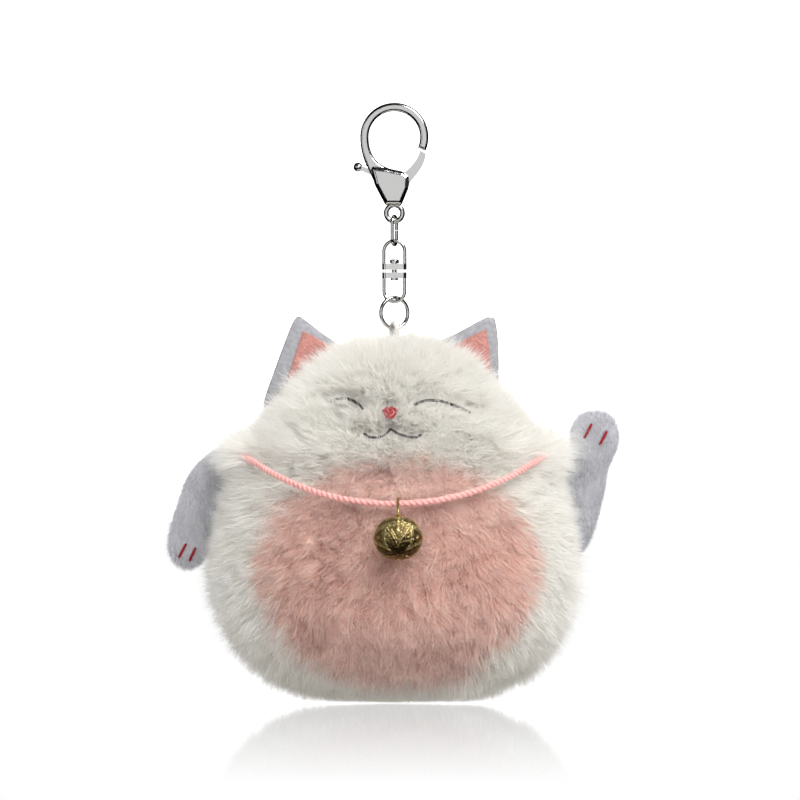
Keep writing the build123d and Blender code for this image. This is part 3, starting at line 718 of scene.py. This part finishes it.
def bell_half(name, sign, cad):
    rows, columns = 110, 300
    lat = np.linspace(0.0, PI / 2 - 0.01, rows)[:, None]
    lon = np.linspace(0, 2 * PI, columns, endpoint=False)[None, :]
    raised = relief(lon + (PI / 6 if sign < 0 else 0), lat + 0 * lon)
    rim = 0.22 * np.exp(-((lat / 0.05) ** 2))
    r, h = 7.45 + rim + 0.26 * raised, 6.45 + 0.26 * raised
    x = r * np.cos(lat) * np.cos(lon)
    y = r * np.cos(lat) * np.sin(lon)
    z = sign * (h * np.sin(lat) + 0 * lon)
    outer = np.stack([x, y, z], -1).reshape(-1, 3)
    tint = PATINA + (GOLD - PATINA) * np.clip(
        raised + 0.9 * np.exp(-((lat / 0.05) ** 2)), 0.06, 1
    ).reshape(-1)[:, None]
    inner = outer * 0.93
    inner[:, 2] = np.where(np.abs(outer[:, 2]) < 1e-6, 0, inner[:, 2])
    verts = np.vstack([outer, inner])
    world = BELL + verts[:, :1] * bell_x + verts[:, 1:2] * bell_y + verts[:, 2:] * bell_z
    f = ring_faces(rows, columns)
    edge = np.stack([np.arange(columns), (np.arange(columns) + 1) % columns], 1)
    bridge = np.column_stack(
        [edge[:, 1], edge[:, 0], edge[:, 0] + rows * columns, edge[:, 1] + rows * columns]
    )
    top = np.arange((rows - 1) * columns, rows * columns)
    faces = (
        f.tolist() + (f[:, ::-1] + rows * columns).tolist() + bridge.tolist()
        + [top.tolist(), (top[::-1] + rows * columns).tolist()]
    )
    obj = mesh_object(name, world, faces, BRASS, "bell", np.vstack([tint, tint * 0.4]))
    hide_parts(cad)


bell_half("bell_top", 1, "bell_upper_half")
bell_half("bell_bottom", -1, "bell_lower_half")

# ------------------------------------------------------------------ hardware keeps its CAD shape
HARDWARE = {
    "clasp_body": CAST, "clasp_gate": SATIN, "clasp_pivot_pin": SATIN, "clasp_spring": STEEL,
    "connector_link": CHROME, "swivel_upper_loop": CHROME, "swivel_lower_loop": CHROME,
    "swivel_rivet": CHROME,
    "jump_ring": CHROME, "bell_ring": BRASS_WIRE, "bell_eyelet": BRASS_WIRE, "bell_pellet": STEEL,
}
for name, mat in HARDWARE.items():
    data = nodes[name].data
    data.materials.clear()
    data.materials.append(mat)

# ------------------------------------------------------------------ room
def plane(name, size, place, turn, mat):
    bpy.ops.mesh.primitive_plane_add(size=size, location=place, rotation=turn)
    obj = bpy.context.object
    obj.name = name
    obj.data.materials.append(mat)
    return obj


MIRROR_REACH, MIRROR = 0.85, 0.52  # the floor mirrors most under the cat, and not at all beyond the reach
gloss = material("gloss_floor", (1, 1, 1), 0.5)
tree = gloss.node_tree
white = add_node(gloss, "ShaderNodeEmission", Strength=1.0)
mirror = add_node(gloss, "ShaderNodeBsdfGlossy", Roughness=0.03)
where = add_node(gloss, "ShaderNodeNewGeometry")
away = add_node(gloss, "ShaderNodeVectorMath", operation="LENGTH")
fade = add_node(gloss, "ShaderNodeMapRange")
for socket, value in (("From Min", 0.12), ("From Max", MIRROR_REACH), ("To Min", MIRROR), ("To Max", 0.0)):
    fade.inputs[socket].default_value = value
blend = add_node(gloss, "ShaderNodeMixShader")
tree.links.new(where.outputs["Position"], away.inputs[0])
tree.links.new(away.outputs["Value"], fade.inputs["Value"])
tree.links.new(fade.outputs[0], blend.inputs[0])
tree.links.new(white.outputs[0], blend.inputs[1])
tree.links.new(mirror.outputs[0], blend.inputs[2])
tree.links.new(blend.outputs[0], tree.nodes["Material Output"].inputs["Surface"])
# the metal sees the dark studio instead of the floor
plane("floor", 12, (0, 0, FLOOR_Z), (0, 0, 0), gloss).visible_glossy = False
glow = material("white_wall", (1, 1, 1), 1.0, Emission_Color=(1, 1, 1, 1), Emission_Strength=1.0)
WALL_AWAY, FOOT_HIGH = 6.0, 0.24
for side in range(4):
    turn = side * PI / 2
    for name, away, z, high in (
        ("wall", WALL_AWAY, 0, 2 * WALL_AWAY),
        ("foot", WALL_AWAY - 0.02, FLOOR_Z + FOOT_HIGH / 2, FOOT_HIGH),
    ):
        wall = plane(
            f"{name}_{side}", 1, (away * math.sin(turn), away * math.cos(turn), z), (PI / 2, 0, -turn), glow
        )
        wall.scale = (2 * WALL_AWAY, high, 1)
        wall.visible_glossy = name == "foot"  # the floor mirrors the foot, and the metal sees no white wall
        wall.visible_diffuse = wall.visible_transmission = False

world = bpy.data.worlds.new("studio")
bpy.context.scene.world = world
world.use_nodes = True
sky = world.node_tree
ramp = sky.nodes.new("ShaderNodeValToRGB")
coord, apart = sky.nodes.new("ShaderNodeTexCoord"), sky.nodes.new("ShaderNodeSeparateXYZ")
remap = sky.nodes.new("ShaderNodeMapRange")
remap.inputs["From Min"].default_value = -1
sky.links.new(coord.outputs["Generated"], apart.inputs[0])
sky.links.new(apart.outputs["Z"], remap.inputs["Value"])
sky.links.new(remap.outputs[0], ramp.inputs[0])
sky.links.new(ramp.outputs[0], sky.nodes["Background"].inputs["Color"])
ramp.color_ramp.elements[0].position, ramp.color_ramp.elements[0].color = 0.0, (0.5, 0.5, 0.5, 1)
ramp.color_ramp.elements[1].position, ramp.color_ramp.elements[1].color = 1.0, (1, 1, 1, 1)
for at, value in ((0.40, 0.35), (0.47, 0.06), (0.55, 0.10), (0.64, 0.85)):
    stop = ramp.color_ramp.elements.new(at)
    stop.color = (value, value, value * 1.03, 1)
sky.nodes["Background"].inputs["Strength"].default_value = 1.0


def softbox(name, place, size, power, mirrored=True, lights_cloth=True):
    light = bpy.data.lights.new(name, "AREA")
    light.shape, light.size, light.size_y, light.energy = "RECTANGLE", *size, power
    obj = bpy.data.objects.new(name, light)
    bpy.context.scene.collection.objects.link(obj)
    obj.location = place
    obj.visible_glossy, obj.visible_diffuse, obj.visible_transmission = mirrored, lights_cloth, lights_cloth
    obj.rotation_euler = (Vector((0, 0, -0.1)) - Vector(place)).to_track_quat("-Z", "Y").to_euler()


softbox("key", (0.75, -0.95, 0.95), (0.8, 0.8), 16.5)
softbox("fill", (-1.0, -0.9, 0.1), (0.3, 0.9), 1.2)
softbox("front", (0.1, -1.4, 0.6), (1.0, 0.7), 9, False)
softbox("card", (0.1, -1.6, 0.02), (1.7, 1.2), 5.0, lights_cloth=False)

# black flags all round, beyond the lights, that only the metal sees: its edges are dark against the white
black = material("black_flag", (0, 0, 0), 1.0, Specular_IOR_Level=0.0)
FLAG_AWAY, FLAG_GAP = 2.2, (FLOOR_Z, -0.085)  # the gap is where the floor mirrors the foot of the walls
for side in range(4):
    turn = side * PI / 2
    for name, low, high in (("upper", FLAG_GAP[1], FLAG_AWAY), ("lower", -FLAG_AWAY, FLAG_GAP[0])):
        place = (FLAG_AWAY * math.sin(turn), FLAG_AWAY * math.cos(turn), (low + high) / 2)
        flag = plane(f"flag_{name}_{side}", 1, place, (PI / 2, 0, -turn), black)
        flag.scale = (2 * FLAG_AWAY, high - low, 1)
        flag.visible_camera = flag.visible_diffuse = flag.visible_shadow = flag.visible_transmission = False
for name, z in (("top", FLAG_AWAY), ("bottom", -FLAG_AWAY)):
    flag = plane(f"flag_{name}", 2 * FLAG_AWAY, (0, 0, z), (0, 0, 0), black)
    flag.visible_camera = flag.visible_diffuse = flag.visible_shadow = flag.visible_transmission = False

camera = bpy.data.cameras.new("camera")
DISTANCE, FRAME_WIDTH = 4.0, 0.2552
camera.sensor_width, camera.clip_start, camera.clip_end = 36, 0.05, 30
camera.lens = camera.sensor_width * DISTANCE / FRAME_WIDTH
view = bpy.data.objects.new("camera", camera)
bpy.context.scene.collection.objects.link(view)
view.location = (0.0018, -DISTANCE, -0.0839)
view.rotation_euler = (PI / 2, 0, 0)
bpy.context.scene.camera = view
bpy.context.scene.view_settings.view_transform = "Standard"
